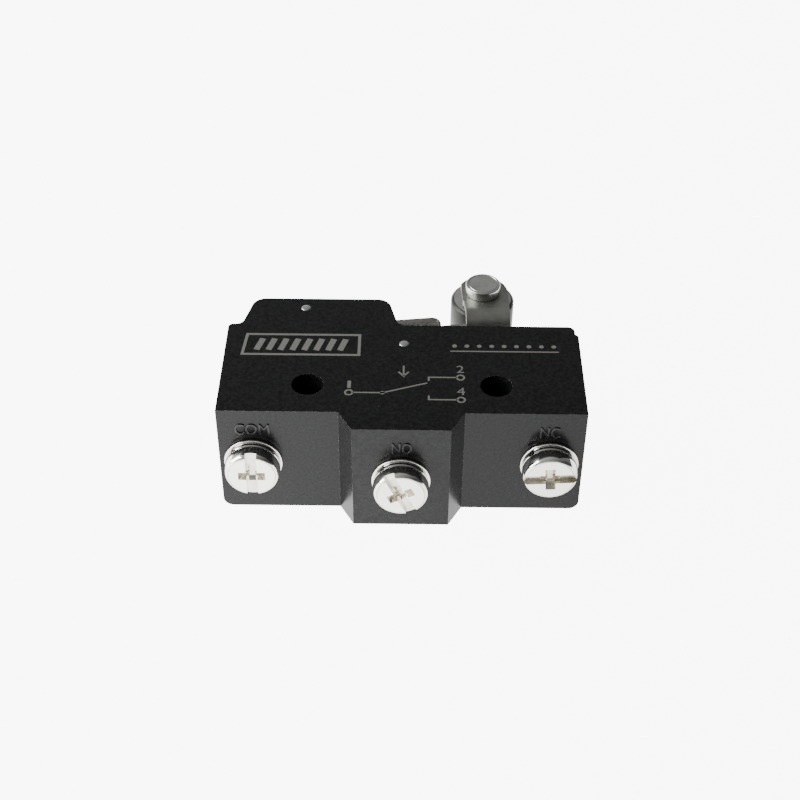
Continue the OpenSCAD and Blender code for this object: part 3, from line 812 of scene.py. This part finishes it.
# Places and widths of the print, in millimetres on the face
THIN = 0.26
BOLD = 0.42
BAR_WIDTH = 0.85
DOT_RADIUS = 0.34
RING_RADIUS = 0.5
NUMERAL_HEIGHT = 1.5
NUMERALS = (("1", -7.1, 0.05, 0.5), ("2", 7.9, 3.45, 1.0), ("4", 7.9, -1.15, 1.1))

# Framed field at the upper left, with a plain row of slanted bars
frame_shell = bmesh.new()
add_ribbon(frame_shell, [(-22.1, 6.3), (-6.0, 6.3), (-6.0, 10.7), (-21.7, 10.7)], BOLD, closed=True)
for k in range(8):
    start = -20.2 + 1.65 * k
    add_ribbon(frame_shell, [(start, 7.25), (start + 0.75, 9.75)], BAR_WIDTH)
print_piece("print_frame", frame_shell)

# Rule with dots at the upper right
rule_shell = bmesh.new()
add_ribbon(rule_shell, [(6.6, 7.35), (21.6, 7.35)], THIN)
for k in range(9):
    add_dot(rule_shell, (7.2 + 1.72 * k, 8.5))
print_piece("print_rule", rule_shell)

# Changeover contact diagram in the middle: three contacts, their rings, the pivot and an arrow
diagram = bmesh.new()
for line in ([(-6.6, -1.6), (-2.6, -1.6), (3.4, 0.5)], [(7.4, 1.7), (3.6, 1.7), (3.6, 0.95)],
             [(7.4, -2.9), (3.6, -2.9), (3.6, -2.1)]):
    add_ribbon(diagram, line, THIN)
for at in ((-7.1, -1.6), (7.9, 1.7), (7.9, -2.9)):
    add_ribbon(diagram, circle_points(at, RING_RADIUS, 28), THIN, closed=True)
add_dot(diagram, (-2.6, -1.6))
for line in ([(0.2, 4.1), (0.2, 1.9), (-0.5, 2.8)], [(0.2, 1.9), (0.9, 2.8)]):
    add_ribbon(diagram, line, THIN)
print_piece("print_diagram", diagram)
for digit, x, y, width in NUMERALS:
    numeral(digit, x, y, width, NUMERAL_HEIGHT)

# ---------------------------------------------------------------- floor, light and camera
FLOOR_HALF = 30.0               # metres
FLOOR_GAP = 0.01 * MM
FLOOR_SEEN = 8.5                # brightness that the camera sees
FLOOR_LEFT, FLOOR_RIGHT = 4.0, 2.4      # brightness that lights the switch and mirrors in it
FLOOR_FADE = 0.03               # metres from the middle to either of those
SKY_DARK, SKY_LIGHT = 0.07, 0.75
SKY_LEVEL = 0.45                # level overhead, from dark to light
SKY_ALONG_X, SKY_ALONG_Y = -0.5, 0.15   # change of the level towards +X and +Y
SKY_STRENGTH = 0.8


def add_floor():
    """White floor. It lights the switch less than it shows, and more from the left."""
    mesh = bpy.data.meshes.new("floor")
    corners = [(x * FLOOR_HALF, y * FLOOR_HALF, 0) for x, y in ((-1, -1), (1, -1), (1, 1), (-1, 1))]
    mesh.from_pydata(corners, [], [(0, 1, 2, 3)])
    floor = add_object("floor", mesh)
    place(floor.data, Matrix.Translation((0, 0, case_low.z - FLOOR_GAP)))
    white, tree, shader = start_material("white floor", 0.0, Roughness=0.9)
    shader.inputs["Base Color"].default_value = (0.3, 0.3, 0.3, 1)
    shader.inputs["Emission Color"].default_value = (1, 1, 1, 1)
    light_path = tree.nodes.new("ShaderNodeLightPath")
    floor_at = tree.nodes.new("ShaderNodeTexCoord").outputs["Object"]
    across = add_node(tree, "ShaderNodeSeparateXYZ", Vector=floor_at).outputs["X"]
    from_left = add_node(tree, "ShaderNodeMapRange", Value=across, From_Min=-FLOOR_FADE,
                         From_Max=FLOOR_FADE, To_Min=FLOOR_LEFT, To_Max=FLOOR_RIGHT).outputs[0]
    glow = add_node(tree, "ShaderNodeMapRange", Value=light_path.outputs["Is Camera Ray"],
                    To_Min=from_left, To_Max=FLOOR_SEEN).outputs[0]
    tree.links.new(glow, shader.inputs["Emission Strength"])
    floor.data.materials.append(white)


def studio_sky():
    """Soft grey room, lighter to the left and a little lighter to the back."""
    world = bpy.data.worlds.new("studio")
    bpy.context.scene.world = world
    world.use_nodes = True
    tree = world.node_tree
    direction = tree.nodes.new("ShaderNodeTexCoord").outputs["Generated"]
    split = add_node(tree, "ShaderNodeSeparateXYZ", Vector=direction)
    side = math_node(tree, "MULTIPLY", split.outputs["X"], SKY_ALONG_X)
    behind = math_node(tree, "MULTIPLY", split.outputs["Y"], SKY_ALONG_Y)
    level = math_node(tree, "ADD", math_node(tree, "ADD", side, behind), SKY_LEVEL)
    ramp = tree.nodes.new("ShaderNodeValToRGB")
    for element, tone in zip(ramp.color_ramp.elements, (SKY_DARK, SKY_LIGHT)):
        element.color = (tone, tone, tone, 1)
    tree.links.new(level, ramp.inputs[0])
    tree.links.new(ramp.outputs[0], tree.nodes["Background"].inputs["Color"])
    tree.nodes["Background"].inputs["Strength"].default_value = SKY_STRENGTH


def soft_box(name, position, aim, width, height, power):
    """A rectangular lamp turned to a point, with its sizes in metres and its power in watts."""
    light = bpy.data.lights.new(name, "AREA")
    light.shape = "RECTANGLE"
    light.size = width
    light.size_y = height
    light.energy = power
    lamp = bpy.data.objects.new(name, light)
    lamp.location = position
    lamp.rotation_euler = (Vector(aim) - Vector(position)).to_track_quat("-Z", "Y").to_euler()
    bpy.context.scene.collection.objects.link(lamp)


add_floor()
studio_sky()
soft_box("key", (-0.42, -0.03, 0.2), (0, 0, 0.01), 0.5, 0.34, 5.0)

CAMERA_AT = Vector((0.93, -150.65, 145.49)) * MM
CAMERA_YAW, CAMERA_PITCH, CAMERA_ROLL = (math.radians(a) for a in (-0.45, 40.94, 0.32))
SENSOR = 36.0                   # millimetres, as is the lens
CAMERA_LENS = 66.21
CLIP_START = 0.005              # metres


def add_camera():
    """The camera looks down on the switch from the terminals' side."""
    forward = Vector((math.sin(CAMERA_YAW) * math.cos(CAMERA_PITCH),
                      math.cos(CAMERA_YAW) * math.cos(CAMERA_PITCH), -math.sin(CAMERA_PITCH)))
    level_right = Vector((math.cos(CAMERA_YAW), -math.sin(CAMERA_YAW), 0))
    level_up = level_right.cross(forward)
    right = math.cos(CAMERA_ROLL) * level_right + math.sin(CAMERA_ROLL) * level_up
    up = math.cos(CAMERA_ROLL) * level_up - math.sin(CAMERA_ROLL) * level_right
    data = bpy.data.cameras.new("camera")
    data.sensor_width = SENSOR
    data.lens = CAMERA_LENS
    data.clip_start = CLIP_START
    camera = bpy.data.objects.new("camera", data)
    turn = Matrix((right, up, -forward)).transposed()
    camera.matrix_world = Matrix.Translation(CAMERA_AT) @ turn.to_4x4()
    bpy.context.scene.collection.objects.link(camera)
    bpy.context.scene.camera = camera


add_camera()
